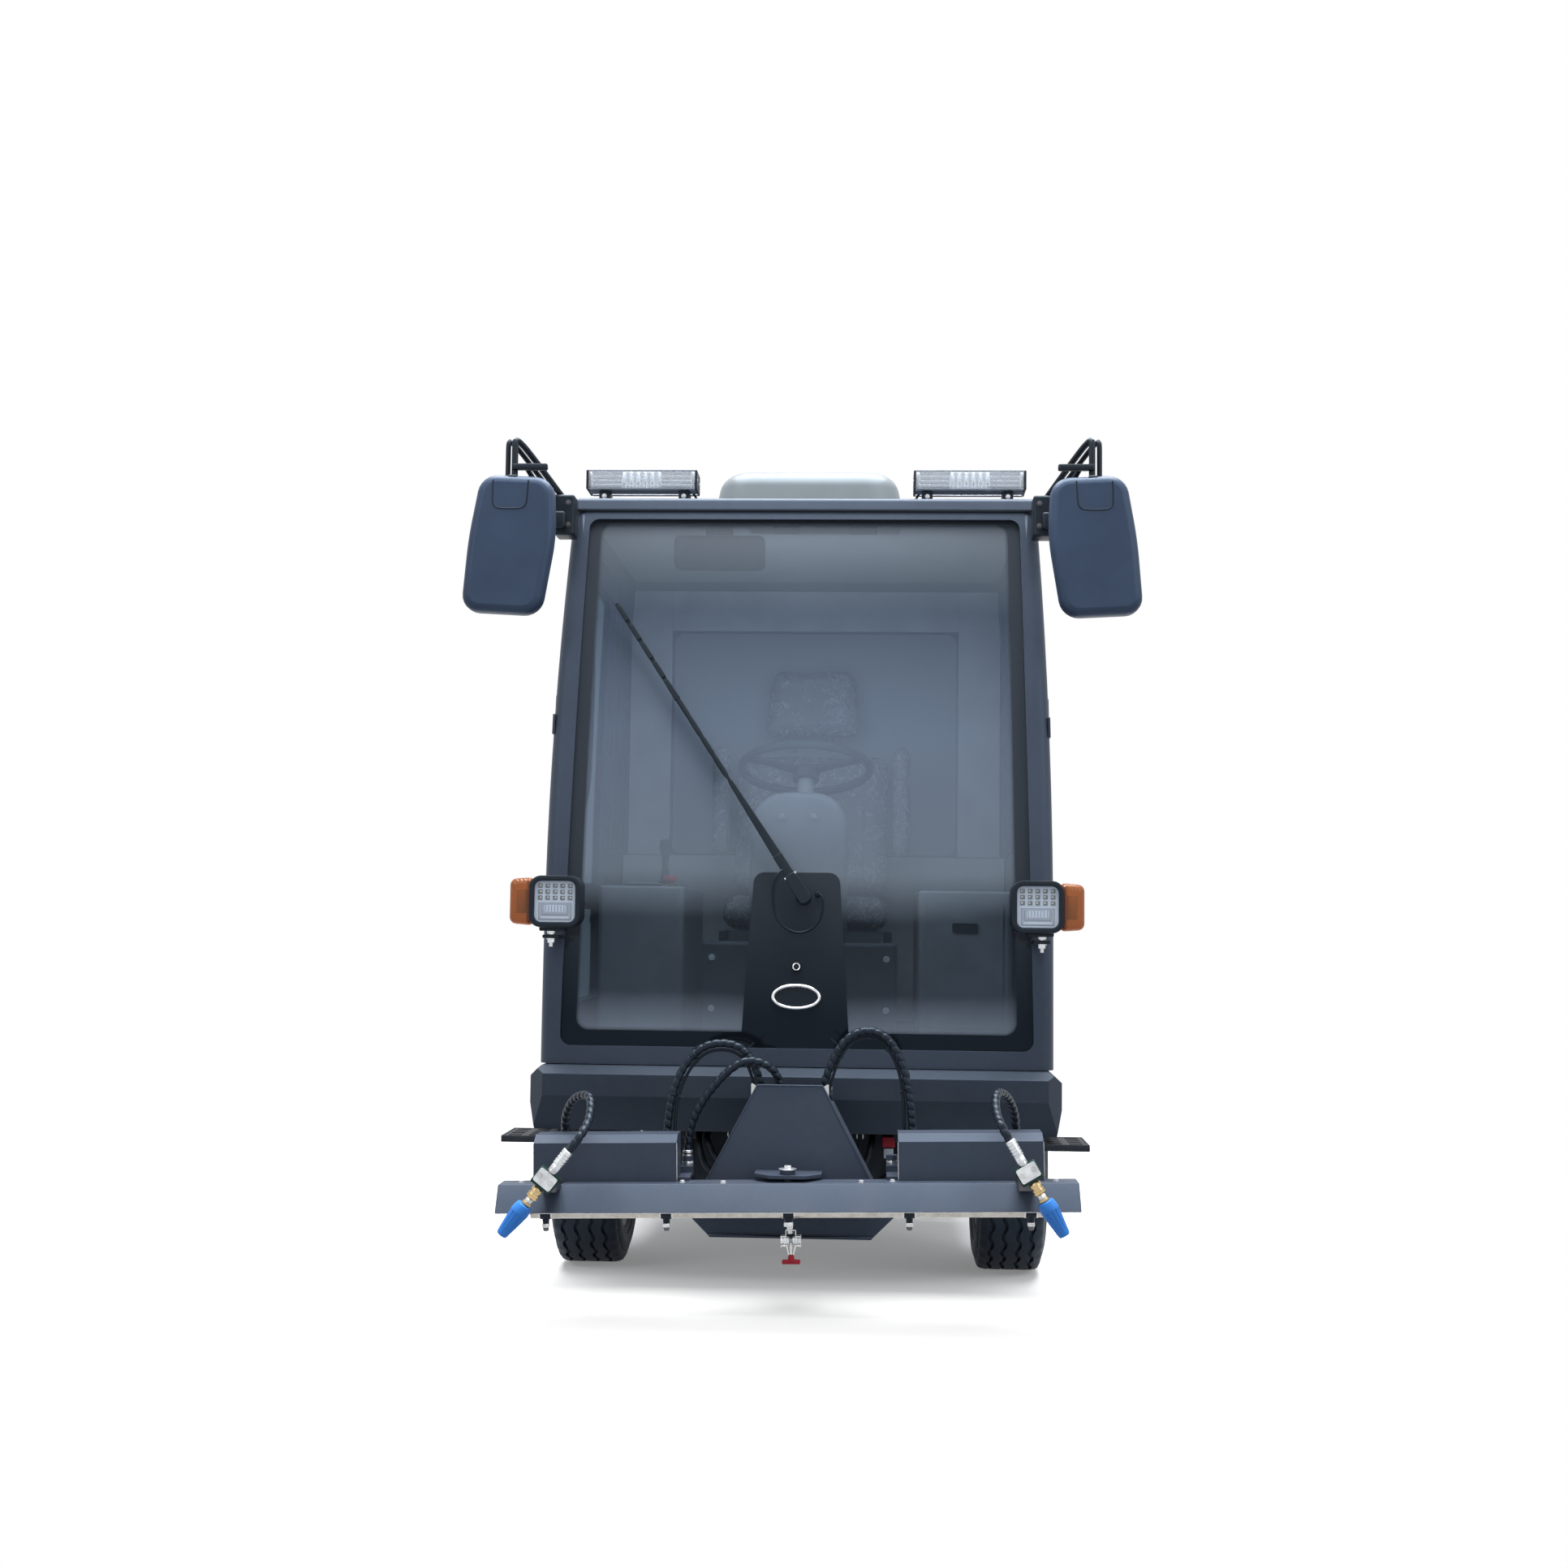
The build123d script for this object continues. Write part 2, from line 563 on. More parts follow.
def make_bumper():
    """A folded beam with short wings, chamfered along its top, its foot and its ends."""
    low, high = BUMPER_Z
    half = BUMPER_HALF
    front = BUMPER_FRONT
    inside = half - BUMPER_WALL
    plan = [(36 - half, front), (half - 36, front), (half, front + 40), (half, WING_END), (inside, WING_END),
            (inside, RAIL_FRONT), (-inside, RAIL_FRONT), (-inside, WING_END), (-half, WING_END),
            (-half, front + 40)]
    bumper = plan_prism(plan, (low, high))
    behind = WING_END + PAST
    bumper &= side_prism([(front + 32, high), (front, high - 18), (front, low + 84), (front + 30, low),
                          (behind, low), (behind, high)], about(0, half + PAST))
    bumper &= front_prism([(28 - half, high), (half - 28, high), (half, high - 26), (half, low + 64),
                           (half - 13, low), (13 - half, low), (-half, low + 64), (-half, high - 26)],
                          (front - PAST, behind))
    save("front_bumper", bumper)
    step_z = RAIL_Z0 - 10
    tread = block(STEP_X, (BUMPER_FRONT + 10, WING_END), (step_z, step_z + STEP_T))
    arm = block((RAIL_IN + RAIL_W, STEP_X[0] + 2), about(RAIL_FRONT + 25, 20), (step_z + 2, step_z + 22))
    save("cab_steps", pair(tread + arm))


def make_interior():
    pod_outline = [(-1270, FLOOR), (-1080, FLOOR), (-985, FLOOR + 627), (-1060, FLOOR + 647),
                   (-1180, FLOOR + 582)]
    pod = side_prism(pod_outline, (-120, 120), 12)
    panel = block((-250, 250), (-1300, -1272), (FLOOR, FLOOR + 262))
    wheel = Pos(0, *WHEEL_CENTRE) * Rot(-WHEEL_TILT, 0, 0)
    column = wheel * cylinder_z(22, 0, 0, (COLUMN_TOP - 126, COLUMN_TOP))
    pedals = []
    for x, width in ((-180, 60), (180, 90)):
        pedals.append(block(about(x, width / 2), (-1180, -1060), (FLOOR, FLOOR + 45)))
    save("dashboard", pod + column, panel, pedals)

    ring = Torus(WHEEL_RING_R, WHEEL_GRIP_R)
    boss = cylinder_z(38, 0, 0, (COLUMN_TOP + FIT, 6))
    spokes = []
    for angle in (90, 210, 330):
        spokes.append(Rot(0, 0, angle) * block((30, WHEEL_RING_R - 5), (-15, 15), (-12, -2)))
    save("steering_wheel", wheel * (ring + boss + spokes))

    box_half = SEAT_HALF - 35
    base = block((-box_half, box_half), (SEAT_Y[0] + 25, SEAT_Y[1]), (FLOOR, SEAT_TOP))
    base += block((10 - box_half, box_half - 10), (SEAT_Y[1] - 1, SEAT_Y[1] + 120), (FLOOR, SEAT_TOP + 5))
    cushion_top = SEAT_TOP + CUSHION_T
    cushion = block((-SEAT_HALF, SEAT_HALF), SEAT_Y, (SEAT_TOP + FIT, cushion_top))
    hinge = Pos(0, SEAT_Y[1] + 15, cushion_top) * Rot(-SEAT_LEAN, 0, 0)
    back_y = (-10, 95)
    back = hinge * block((-SEAT_HALF, SEAT_HALF), back_y, (FIT + 4, BACK_H))
    base += hinge * block((-60, 60), (back_y[1] + FIT, back_y[1] + 12), (-110, 300))
    posts = [hinge * cylinder_z(6, x, 42, (BACK_H + FIT, HEADREST_Z[0] - FIT)) for x in (-55, 55)]
    head = hinge * block((-145, 145), (0, 85), HEADREST_Z)
    save("seat_frame", base, posts)
    save("seat_pads", [fillet(pad.edges(), 25) for pad in (cushion, back, head)])

    cabinet = block(CABINET_X, CONSOLE_Y, (FLOOR, FLOOR + CABINET_H))
    console = flip(block(CONSOLE_X, CONSOLE_Y, (FLOOR, FLOOR + CONSOLE_H)))
    save("cab_consoles", [fillet(box.edges().filter_by(Axis.Z), 15) for box in (cabinet, console)])


# ---------------------------------------------------------------- chassis and running gear
def make_chassis():
    rail_x = (RAIL_IN, RAIL_IN + RAIL_W)
    save("chassis_rails", pair(block(rail_x, (RAIL_FRONT, RAIL_REAR), (RAIL_Z0, RAIL_Z1))))
    cross_z = (RAIL_Z0 + CROSS_STEP, RAIL_Z1 - CROSS_STEP)
    save("cross_members", [block((-RAIL_IN, RAIL_IN), about(y, CROSS_W / 2), cross_z) for y in CROSS_Y])
    mounts = []
    for y in (CAB_FRONT + 140, CAB_REAR - 130):
        mounts.extend(pair(cylinder_z(MOUNT_R, RAIL_IN + RAIL_W / 2, y, (RAIL_Z1, CAB_Z0))))
    save("cab_mounts", mounts)
    deck = block((-BODY_HALF, BODY_HALF), BODY_Y, (BODY_Z[0], DECK_TOP))
    for runner in pair(block(rail_x, (BODY_Y[0] + 20, RAIL_REAR), (RAIL_Z1, BODY_Z[0]))):
        deck += runner
    save("body_deck", deck)
    clear = CROSS_W / 2 + 10
    save("battery_block", block((FIT - RAIL_IN, RAIL_IN - FIT), (CROSS_Y[2] + clear, CROSS_Y[3] - clear),
                                (RAIL_Z0 - BATTERY_DROP, RAIL_Z1 - 4)))


def make_axles():
    springs = []
    axle_top = TYRE_R + AXLE_HALF
    spring_x = about(RAIL_IN + RAIL_W / 2, SPRING_W / 2)
    for y in (-AXLE_Y, AXLE_Y):
        outline = [(y - SPRING_HALF, RAIL_Z0), (y + 40 - SPRING_HALF, RAIL_Z0), (y - 60, axle_top + SPRING_T),
                   (y + 60, axle_top + SPRING_T), (y - 40 + SPRING_HALF, RAIL_Z0), (y + SPRING_HALF, RAIL_Z0),
                   (y + 70, axle_top), (y - 70, axle_top)]
        springs.extend(pair(side_prism(outline, spring_x)))
    save("leaf_springs", springs)

    beam = block((-KINGPIN_X, KINGPIN_X), about(-AXLE_Y, AXLE_HALF - 2), about(TYRE_R, AXLE_HALF))
    for x in (-KINGPIN_X, KINGPIN_X):
        inwards = -1 if x > 0 else 1
        beam -= block(about(x, KINGPIN_BOSS_R + 15), about(-AXLE_Y, PAST), (0, 2 * TYRE_R))
        beam += cylinder_z(KINGPIN_BOSS_R, x, -AXLE_Y, about(TYRE_R, KINGPIN_BOSS_HALF))
        neck_x = (x + inwards * 20, x + inwards * 60)
        beam += block(neck_x, about(-AXLE_Y, 22), about(TYRE_R, KINGPIN_BOSS_HALF - 3))
        beam -= cylinder_z(KINGPIN_R + PIN_FIT, x, -AXLE_Y, (0, 2 * TYRE_R))

    end = WHEEL_X + STUB_PAST
    half = [(70, DIFF_R), (130, AXLE_HALF), (KINGPIN_X, AXLE_HALF), (KINGPIN_X, STUB_R), (end, STUB_R),
            (end, 0)]
    casing = Polyline(*[(-x, r) for x, r in reversed(half)], *half, close=True)
    rear = Pos(0, AXLE_Y, TYRE_R) * revolve(make_face(Plane.XY * casing), Axis.X)
    save("axles", beam, rear)


def make_knuckle():
    """Two ears on the kingpin, joined outboard by a web that carries the stub axle."""
    knuckle = cylinder_z(KINGPIN_R, KINGPIN_X, -AXLE_Y, about(TYRE_R, KNUCKLE_HALF - 2))
    inside = KINGPIN_BOSS_HALF + EAR_GAP
    for ear_z in ((TYRE_R + inside, TYRE_R + KNUCKLE_HALF), (TYRE_R - KNUCKLE_HALF, TYRE_R - inside)):
        knuckle += cylinder_z(KINGPIN_BOSS_R, KINGPIN_X, -AXLE_Y, ear_z)
        knuckle += block((KINGPIN_X, KINGPIN_X + KINGPIN_BOSS_R + 10), about(-AXLE_Y, 28), ear_z)
    web_x = (KINGPIN_X + KINGPIN_BOSS_R + 4, KINGPIN_X + KINGPIN_BOSS_R + 26)
    knuckle += block(web_x, about(-AXLE_Y, 40), about(TYRE_R, KNUCKLE_HALF))
    knuckle += cylinder_x(STUB_R, (web_x[1] - 6, WHEEL_X + STUB_PAST), -AXLE_Y, TYRE_R)
    save("knuckle_right", knuckle)
    save("knuckle_left", flip(knuckle))


def make_wheels():
    """Tyre and rim are outlines of distance along the axle and radius, turned about the axle."""
    half = TYRE_W / 2
    bead = half - 18
    seat = RIM_R + 10
    right = [(bead, seat), (bead, seat + 10), (half - 2, seat + 28), (half, seat + 60),
             (half - 7, TYRE_R - 30), (half - 15, TYRE_R - 12), (half - 27, TYRE_R)]
    left = [(-x, r) for x, r in reversed(right)]
    tyre = revolve(make_face(Plane.XY * Polyline(*right, *left, close=True)), Axis.X)
    bore = STUB_R + PIN_FIT
    flange = bead + FIT
    well = RIM_R - 8
    rim_outline = [(-bead, seat), (bead, seat), (flange, seat + 10), (flange + 5, seat + 10),
                   (flange + 5, RIM_R), (bead - 8, well), (32, well), (44, HUB_R + 6), (54, HUB_R),
                   (54, bore), (-28, bore), (-28, HUB_R), (32, HUB_R), (18, well), (8 - bead, well),
                   (-flange - 5, RIM_R), (-flange - 5, seat + 10), (-flange, seat + 10)]
    rim = revolve(make_face(Plane.XY * Polyline(*rim_outline, close=True)), Axis.X)
    for step in range(WHEEL_HOLES):
        hole = cylinder_x(WHEEL_HOLE_R, (0, half), 0, (HUB_R + RIM_R) / 2 + 4)
        rim -= Rot(step * 360 / WHEEL_HOLES, 0, 0) * hole
    for end, y in (("front", -AXLE_Y), ("rear", AXLE_Y)):
        place = Pos(WHEEL_X, y, TYRE_R)
        save(f"tyre_{end}_right", place * tyre)
        save(f"tyre_{end}_left", flip(place * tyre))
        save(f"rim_{end}_right", place * rim)
        save(f"rim_{end}_left", flip(place * rim))


# ---------------------------------------------------------------- washing body
def make_body():
    half = BODY_HALF
    high = BODY_Z[1]
    outer = block((-half, half), BODY_Y, (DECK_TOP, high))
    outer = fillet(outer.faces().sort_by(Axis.Z)[-1].edges().filter_by(Axis.Y), BODY_R)
    inner = block((BODY_WALL - half, half - BODY_WALL), (BODY_Y[0] + BODY_WALL, BODY_Y[1] - BODY_WALL),
                  (DECK_TOP - 1, high - BODY_WALL))
    inner = fillet(inner.faces().sort_by(Axis.Z)[-1].edges().filter_by(Axis.Y), BODY_R - BODY_WALL)
    shell = outer - inner
    shell -= block(about(0, half + 10), LOCKER_Y, LOCKER_Z)
    shell -= block((-REAR_HALF, REAR_HALF), about(BODY_Y[1], PAST), REAR_Z)
    neck = cylinder_z(NECK_R[0], 0, LID_Y, (high - 2, high + NECK_H))
    shell = shell + neck - cylinder_z(NECK_R[1], 0, LID_Y, (high - 60, high + NECK_H + 4))
    save("body_shell", shell)

    tank_z = (DECK_TOP, high - BODY_WALL - TANK_GAP)
    tank = block((-TANK_HALF, TANK_HALF), TANK_Y, tank_z)
    save("water_tank", fillet(tank.edges().filter_by(Axis.Y), TANK_R))


def make_body_doors():
    """Each door hangs from a pin along its top edge, with a leaf that lies flat on the door."""
    pin_x = BODY_HALF + HINGE_OUT
    pin_z = LOCKER_Z[1] + HINGE_RISE
    span = (LOCKER_Y[0] + LEAF_END, LOCKER_Y[1] - LEAF_END)
    locker = block((BODY_HALF - DOOR_T, BODY_HALF), (LOCKER_Y[0] + DOOR_GAP, LOCKER_Y[1] - DOOR_GAP),
                   (LOCKER_Z[0] + DOOR_GAP, LOCKER_Z[1] - DOOR_GAP))
    locker += cylinder_y(LEAF_PIN_R, pin_x, span, pin_z)
    locker += block((BODY_HALF + 0.5, pin_x), span, (pin_z - LEAF, pin_z))
    locker += block(about(BODY_HALF, 1), span, (pin_z - LEAF, pin_z - LEAF_PAD))
    save("locker_door_right", locker)
    save("locker_door_left", flip(locker))

    face = BODY_Y[1]
    pin_y = face + HINGE_OUT
    pin_z = REAR_Z[1] + HINGE_RISE
    span = about(0, REAR_HALF - LEAF_END)
    rear_z = (REAR_Z[0] + DOOR_GAP, REAR_Z[1] - DOOR_GAP)
    rear = block(about(0, REAR_HALF - DOOR_GAP), (face - DOOR_T, face), rear_z)
    rear += cylinder_x(LEAF_PIN_R, span, pin_y, pin_z)
    rear += block(span, (face + 0.5, pin_y), (pin_z - LEAF, pin_z))
    rear += block(span, about(face, 1), (pin_z - LEAF, pin_z - LEAF_PAD))
    save("rear_door", rear)

    lid_z = BODY_Z[1] + NECK_H + FIT
    pin_y = LID_Y + LID_R + 32
    lid = cylinder_z(LID_R, 0, LID_Y, (lid_z, lid_z + 20))
    lid += block((-40, 40), (LID_Y + LID_R - 20, pin_y), (lid_z, lid_z + 12))
    lid += cylinder_x(8, (-40, 40), pin_y, lid_z + 6)
    save("tank_lid", lid)


def make_rear():
    beam_z = (RAIL_Z0 + 20, RAIL_Z0 + 20 + REAR_BEAM_H)
    beam = block(about(0, REAR_BEAM_HALF), (REAR_END - REAR_BEAM, REAR_END), beam_z)
    stay_z = (beam_z[0] + 10, beam_z[1] - 10)
    for stay in pair(block((RAIL_IN, RAIL_IN + RAIL_W), (RAIL_REAR, REAR_END - REAR_BEAM + 1), stay_z)):
        beam += stay
    middle = sum(beam_z) / 2
    for x in about(0, HITCH[0] / 2):
        for z in about(middle, HITCH[1] / 2):
            beam -= cylinder_y(HITCH_HOLE_R, x, (REAR_END - REAR_BEAM - 25, REAR_END + 15), z)
    save("rear_bumper", beam)

    lamp_z = (BODY_Z[0] + 300, BODY_Z[0] + 550)
    lamp = block((BODY_HALF - 80, BODY_HALF - 12), (BODY_Y[1], BODY_Y[1] + 24), lamp_z)
    save("tail_lamps", pair(fillet(lamp.faces().sort_by(Axis.Y)[-1].edges(), 10)))

    guard_x = (WHEEL_X - TYRE_W / 2 - 5, WHEEL_X + TYRE_W / 2 - 15)
    outer_r = MUDGUARD_R + MUDGUARD_T
    guard = cylinder_x(outer_r, guard_x, AXLE_Y, TYRE_R)
    guard -= cylinder_x(MUDGUARD_R, about(WHEEL_X, TYRE_W), AXLE_Y, TYRE_R)
    guard -= block(about(WHEEL_X, TYRE_W), about(AXLE_Y, 2 * TYRE_R), (-TYRE_R, TYRE_R + 60))
    stay_z = (TYRE_R + MUDGUARD_R + 3, BODY_Z[0])
    guard += block((guard_x[0] + 10, guard_x[0] + 40), about(AXLE_Y, 15), stay_z)
    save("rear_mudguards", pair(guard))


def make_reel():
    shaft_end = REEL_HALF + 32
    reel = cylinder_x(SHAFT_R, (-shaft_end, shaft_end), REEL_Y, REEL_Z)
    reel += cylinder_x(DRUM_R, (-REEL_HALF, REEL_HALF), REEL_Y, REEL_Z)
    for x in ((-REEL_HALF, REEL_CHEEK - REEL_HALF), (REEL_HALF - REEL_CHEEK, REEL_HALF)):
        reel += cylinder_x(REEL_R, x, REEL_Y, REEL_Z)
    save("hose_reel", reel)
    wound = cylinder_x(HOSE_WOUND_R, about(0, REEL_HALF - REEL_CHEEK - 2), REEL_Y, REEL_Z)
    save("reel_hose", wound - cylinder_x(DRUM_R + FIT, (-REEL_HALF, REEL_HALF), REEL_Y, REEL_Z))

    stand_x = (REEL_HALF + 12, REEL_HALF + 12 + STAND_T)
    stand = block(stand_x, about(REEL_Y, 60), (DECK_TOP, REEL_Z + 45))
    stand -= cylinder_x(SHAFT_R + PIN_FIT, (REEL_HALF, REEL_HALF + 40), REEL_Y, REEL_Z)
    foot = block((stand_x[1], stand_x[1] + 40), about(REEL_Y, 60), (DECK_TOP, DECK_TOP + 8))
    pump = block((-180, 180), (REEL_Y - 260, REEL_Y + 220), (DECK_TOP, DECK_TOP + 90))
    pump += cylinder_x(52, (-150, 150), REEL_Y - 160, DECK_TOP + 110)
    save("pump_bay", pair(stand + foot), pump)


# ---------------------------------------------------------------- spray gear
def on_bar(shape):
    """Tilt a piece with the bar about the swing bolt."""
    return Pos(0, PIVOT_Y, BAR_TOP) * Rot(0, BAR_TILT, 0) * Pos(0, -PIVOT_Y, -BAR_TOP) * shape


def bar_point(x, y, z):
    """Where a point of the level bar is once the bar has tilted."""
    return tuple(on_bar(Vertex(x, y, z)).center())


def make_mast():
    """Two guide rods between shelves, on arms that run back under the bumper to a cross member."""
    width = (-MAST_HALF, MAST_HALF)
    low, high = MAST_Z
    depth = (GUIDE_Y - 33, GUIDE_Y + 42)
    back_face = depth[1] - 10
    mast = block(width, depth, (low, low + MAST_T)) + block(width, depth, (high - MAST_T, high))
    mast += block(width, (back_face, depth[1]), MAST_Z)
    for x in (-GUIDE_X, GUIDE_X):
        mast += cylinder_z(GUIDE_R, x, GUIDE_Y, (low + MAST_T - 5, high - MAST_T + 5))
    cross_rear = CROSS_Y[0] + CROSS_W / 2
    arm = block((MAST_HALF - 45, MAST_HALF), (depth[1] - 2, cross_rear), (RAIL_Z0 - 60, RAIL_Z0 + 15))
    mast = mast + arm + flip(arm)
    mast += block(width, (cross_rear - CROSS_W, cross_rear), (RAIL_Z0 - 60, RAIL_Z0 + CROSS_STEP))
    skirt_z = (low - 16, low + 36)
    skirt_y = depth[0] - 6
    mast += front_prism([(-243, skirt_z[1]), (-190, skirt_z[0]), (190, skirt_z[0]), (243, skirt_z[1])],
                        (skirt_y, depth[0]))
    mast += block((-190, 190), (skirt_y - 11, depth[0]), (skirt_z[0], skirt_z[0] + 5))
    save("spray_mast", mast)


def make_carriage():
    """The slider on the guide rods, the tapered hood over it and the plate that holds the swing bolt."""
    low, high = HOOD_Z
    half_low, half_high = HOOD_HALF
    outline = [(-half_low, low), (half_low, low), (half_high, high), (-half_high, high)]
    slope = (half_low - half_high) / (high - low)
    side = 1.2 * HOOD_WALL
    over = side + 5 * slope
    inner = [(side - half_low, low - 5), (half_low - side, low - 5), (half_high - over, high + 5),
             (over - half_high, high + 5)]
    carriage = front_prism(outline, (HOOD_Y, HOOD_Y + HOOD_DEPTH))
    carriage -= front_prism(inner, (HOOD_Y + HOOD_WALL, HOOD_Y + HOOD_DEPTH + 10))
    carriage -= block(about(0, half_low), (HOOD_Y + 15, HOOD_Y + HOOD_DEPTH + 10), (high - 44, high + 5))
    slider_y = (HOOD_Y + HOOD_DEPTH, GUIDE_Y + 22)
    slider = block(about(0, MAST_HALF - 3), slider_y, SLIDER_Z)
    for x in (-GUIDE_X, GUIDE_X):
        slider -= cylinder_z(GUIDE_R + FIT, x, GUIDE_Y, (SLIDER_Z[0] - 10, SLIDER_Z[1] + 15))
    carriage += slider
    shelf_x = about(0, MAST_HALF - 7)
    carriage += block(shelf_x, (HOOD_Y + HOOD_WALL - 1, slider_y[0] + 5), (BAR_TOP + 22, BAR_TOP + 32))
    nose = PIVOT_Y - 27
    carriage += plan_prism([(-76, HOOD_Y + 2), (76, HOOD_Y + 2), (76, nose + 40), (42, nose), (-42, nose),
                            (-76, nose + 40)], (BAR_TOP + 8, BAR_TOP + 15))
    carriage += cylinder_z(PIVOT_R, 0, PIVOT_Y, (BAR_TOP - 24, BAR_TOP + 16))
    carriage += cylinder_z(PIVOT_HEAD_R, 0, PIVOT_Y, (BAR_TOP + 15, BAR_TOP + 26))
    carriage += cylinder_z(PIVOT_HEAD_R, 0, PIVOT_Y, (BAR_TOP - 24, BAR_TOP - 12))
    for route in lift_routes():
        end = Vector(*route[-1])
        into = (end - Vector(*route[-2])).normalized()
        carriage += rod(tuple(end), tuple(end + into * 24), HOSE_R + 3)
        carriage += cylinder_z(HOSE_R + 2, end.X, end.Y, (BAR_TOP + 31, end.Z - 12))
    save("spray_carriage", carriage)


def make_bar():
    """A folded plate: a flange at the rear, a flat top and a front face that slopes down to its lip."""
    t = BAR_T
    top = BAR_TOP
    flange_z = top - BAR_FLANGE
    outline = [BAR_LIP, BAR_BEND, (BAR_REAR, top), (BAR_REAR, flange_z), (BAR_REAR - t, flange_z),
               (BAR_REAR - t, top - t), (BAR_BEND[0] + t / 2, top - t), (BAR_LIP[0] + t, BAR_LIP[1])]
    bar = side_prism(outline, (-BAR_HALF, BAR_HALF))
    bar -= cylinder_z(PIVOT_R + FIT, 0, PIVOT_Y, (top - 30, top + 10))
    for x in HANGER_X:
        bar += block(about(x, 9), about(PIPE_Y, 4), (PIPE_Z + PIPE_R + FIT, top - t + 1))
    save("spray_bar", on_bar(bar))

    pipe = cylinder_x(PIPE_R, (-PIPE_HALF, PIPE_HALF), PIPE_Y, PIPE_Z)
    under = PIPE_Z - PIPE_R
    valve_x = NOZZLE_X[2]
    for x in NOZZLE_X:
        if x == valve_x:
            continue
        for radius, start, end in ((7, -10, 3), (10, -20, -10), (6, -28, -20)):
            pipe += cylinder_z(radius, x, PIPE_Y, (under + start, under + end))
    pipe += cylinder_z(8, valve_x, PIPE_Y, (under - 36, under + 3))
    pipe += cylinder_x(15, about(valve_x, 24), PIPE_Y, under - 49)
    pipe += cylinder_z(5, valve_x, PIPE_Y, (under - 92, under - 55))
    pipe += block(about(valve_x, 20), about(PIPE_Y, 6), (under - 102, under - 91))
    save("spray_pipe", on_bar(pipe))


def make_covers():
    """A chamfered box cover on each side, with the manifold that feeds the hoses behind it."""
    wall = COVER_WALL
    top = BAR_TOP
    front, back = COVER_Y
    along, down = COVER_CHAMFER
    foot = top - 5
    outline = [(front, top), (front, COVER_TOP - down), (front + along, COVER_TOP), (back, COVER_TOP),
               (back, top)]
    hollow = [(front + wall, foot), (front + wall, COVER_TOP - down - wall / 2),
              (front + along + wall / 2, COVER_TOP - wall), (back - wall, COVER_TOP - wall),
              (back - wall, foot)]
    cover = side_prism(outline, COVER_X) - side_prism(hollow, (COVER_X[0] + wall, COVER_X[1] - wall))
    manifold_x = (PORT_X[0] - PORT_R, COVER_X[1] - 15)
    manifold_z = (top, top + MANIFOLD_H)
    cover += block(manifold_x, (back - 1, back + 40), manifold_z)
    cover += block((manifold_x[0], COVER_X[0] - 1), (BAR_REAR - 20, back), (top, top + 8))
    for x in PORT_X:
        cover += cylinder_z(PORT_R, x, PORT_Y, (manifold_z[1] - 1, PORT_TOP))
    save("bar_covers", on_bar(cover), on_bar(flip(cover)))


def make_side_nozzles():
    """A foot bent over the bar's front edge carries a clamp, and the clamp holds the nozzle's couplings.

    Both sides are drawn on the left, in a frame whose Z runs out along the nozzle, Y across the bar.
    """
    bend = BAR_BEND[0]
    couplings = ((9, -26, 34), (13, 29, 55), (8, 54, 72), (12, -41, -24), (12.5, -HOSE_END, -40))
    clamps, cones = [], []
    for number, (x, z, degrees) in enumerate(CLAMPS):
        lean = radians(degrees)
        across = Vector(-cos(lean), 0, sin(lean))
        place = Plane(origin=(-x, CLAMP_Y, z), x_dir=across, z_dir=Vector(-sin(lean), 0, -cos(lean))).location
        foot_x = about(-x, 22)
        foot = block(foot_x, (CLAMP_Y + 12, bend + 8), (BAR_TOP - 8, z - 10))
        foot += block(foot_x, (bend, bend + 32), (BAR_TOP, BAR_TOP + 6))
        foot -= side_prism([(BAR_LIP[0] - FIT, BAR_LIP[1]), (bend - FIT, BAR_TOP), (bend + 80, BAR_TOP),
                            (bend + 80, BAR_LIP[1])], (-BAR_HALF, BAR_HALF))
        clamp = place * Box(*CLAMP_SIZE) + foot
        for radius, start, end in couplings:
            clamp += place * cylinder_z(radius, 0, 0, (start, end))
        cone = place * Pos(0, 0, couplings[2][2] + FIT + CONE_H / 2) * Cone(*CONE_R, CONE_H)
        clamps.append(on_bar(flip(clamp) if number else clamp))
        cones.append(on_bar(flip(cone) if number else cone))
    save("nozzle_clamps", clamps)
    save("turbo_nozzles", cones)


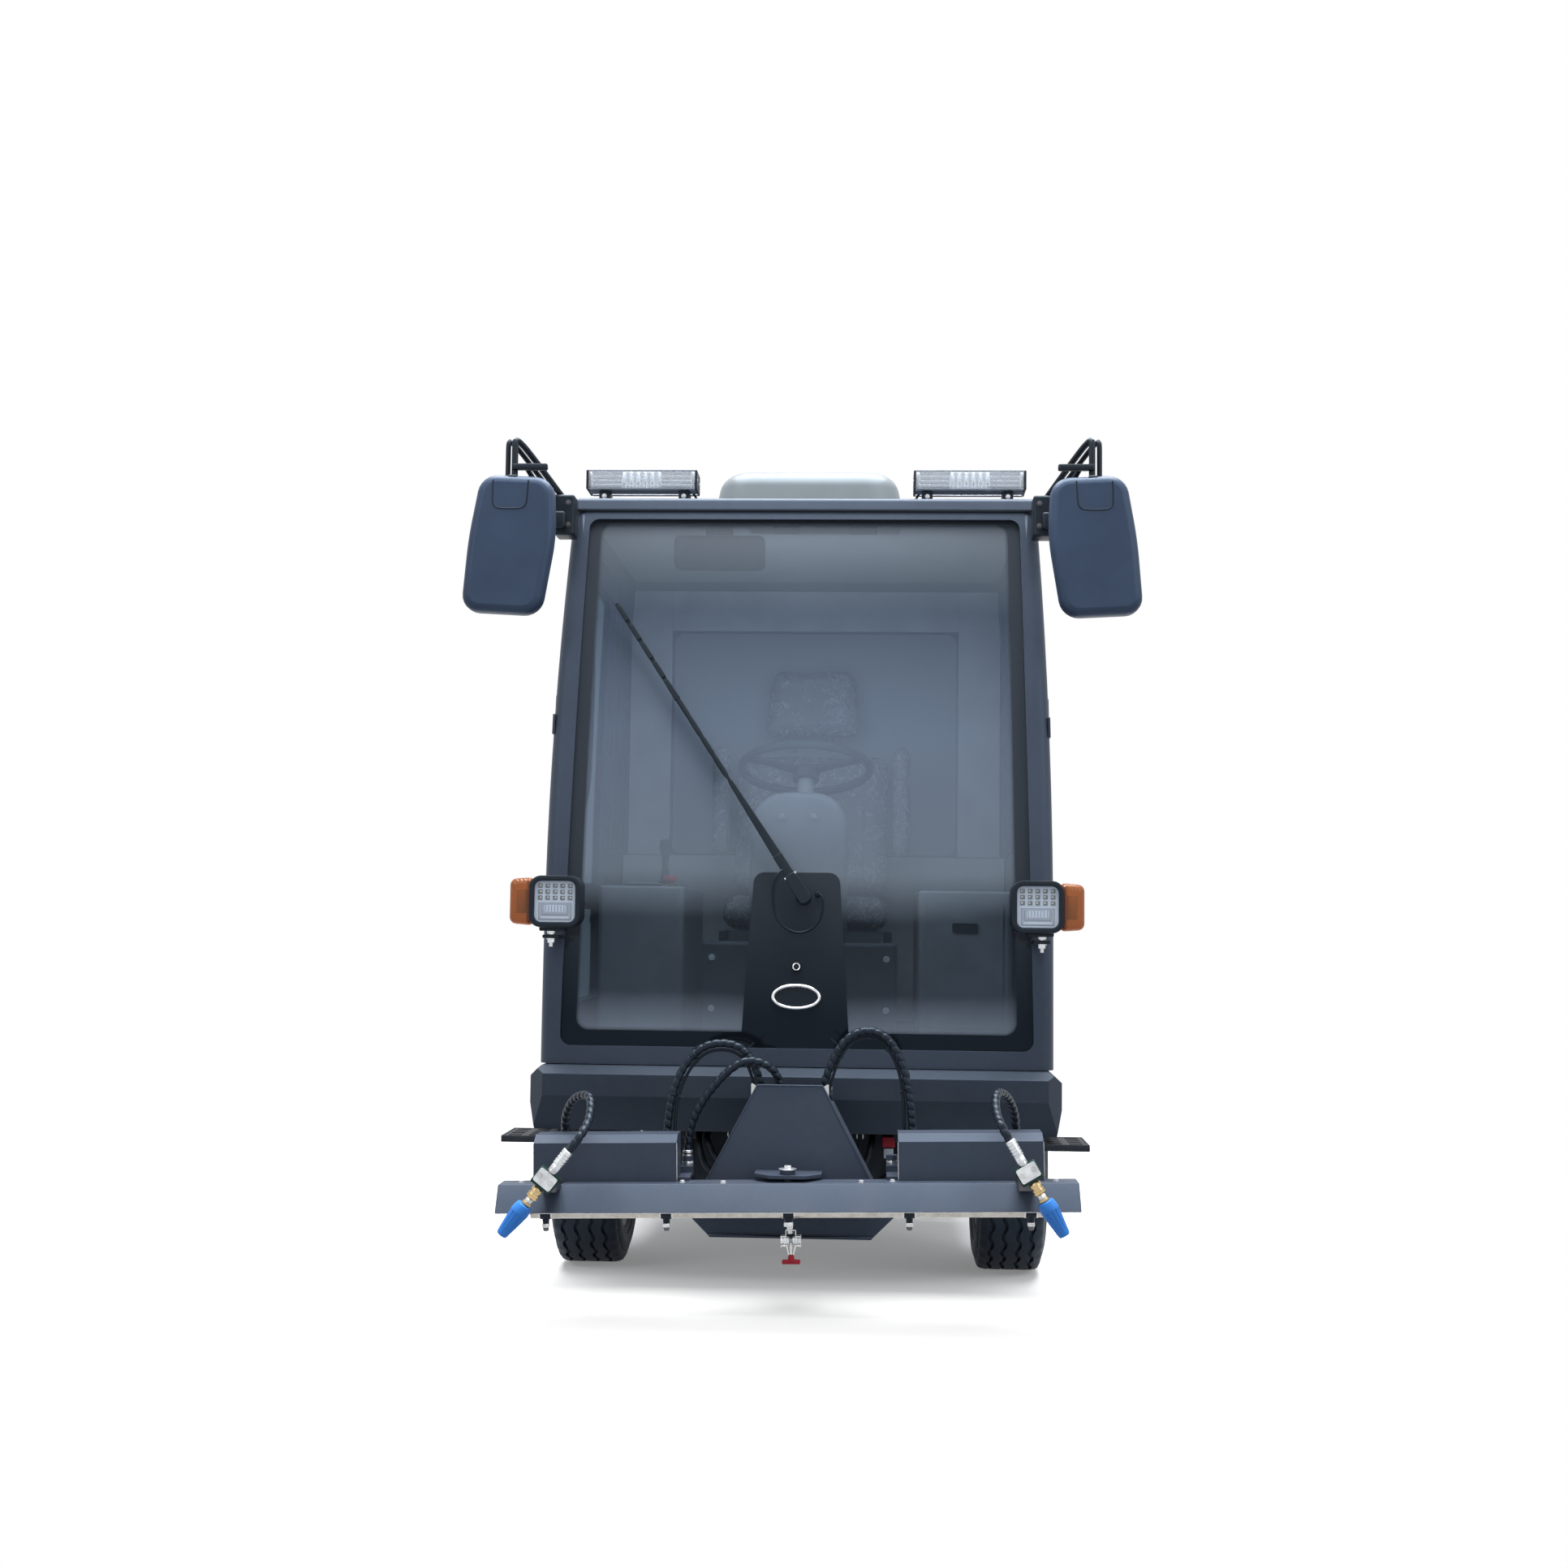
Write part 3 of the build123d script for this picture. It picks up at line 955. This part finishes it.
def lift_routes():
    """Three hoses from their ports on the tilting bar to their ports under the hood."""
    z = PORT_TOP
    y = PORT_Y
    end_y = LIFT_PORT_Y
    end_z = LIFT_PORT_Z
    inner, outer = PORT_X[:2]
    return [
        [bar_point(-outer, y, z), bar_point(-outer, y, z + 76), (-266, y + 10, z + 180), (-207, y + 14, 628),
         (-118, y + 17, 628), (-74, y + 18, 560), (-56, end_y, end_z)],
        [bar_point(-inner, y, z), bar_point(-inner, y, z + 56), (-199, y - 9, z + 135), (-121, y - 12, 592),
         (-59, y - 6, 588), (-20, y + 12, 543), (-18, end_y - 2, end_z)],
        [bar_point(outer, y, z), bar_point(outer, y, z + 90), (261, y + 10, z + 221), (209, y + 14, 665),
         (136, y + 17, 657), (88, y + 18, 583), (56, end_y, end_z)],
    ]


def make_hoses():
    """Hoses held at both ends, each from its port on the bar."""
    routes = zip(("left outer hose", "left inner hose", "right hose"), lift_routes())
    save("lift_hoses", [tube_through(points, HOSE_R, name) for name, points in routes])
    x, y, z = -PORT_X[2], PORT_Y, PORT_TOP
    loops = ([(-434, -1918, 477), (-440, -1859, 531), (-490, -1794, 517), (-519, -1743, 470)],
             [(-464, -1915, 493), (-469, -1863, 533), (-500, -1791, 515), (-520, -1742, 470)])
    side = []
    for number, ((clamp_x, clamp_z, degrees), loop) in enumerate(zip(CLAMPS, loops)):
        away = Vector(sin(radians(degrees)), 0, cos(radians(degrees)))
        first = Vector(-clamp_x, CLAMP_Y, clamp_z) + away * HOSE_END
        points = [tuple(first), tuple(first + away * 36), *loop, (x, y, z + 52), (x, y, z)]
        hose = tube_through(points, HOSE_R, f"side hose {number + 1}")
        side.append(on_bar(flip(hose) if number else hose))
    save("side_hoses", side)


make_cab()
make_doors()
make_mirror()
make_cab_outside()
make_wiper()
make_bumper()
make_interior()
make_chassis()
make_axles()
make_knuckle()
make_wheels()
make_body()
make_body_doors()
make_rear()
make_reel()
make_mast()
make_carriage()
make_bar()
make_covers()
make_side_nozzles()
make_hoses()
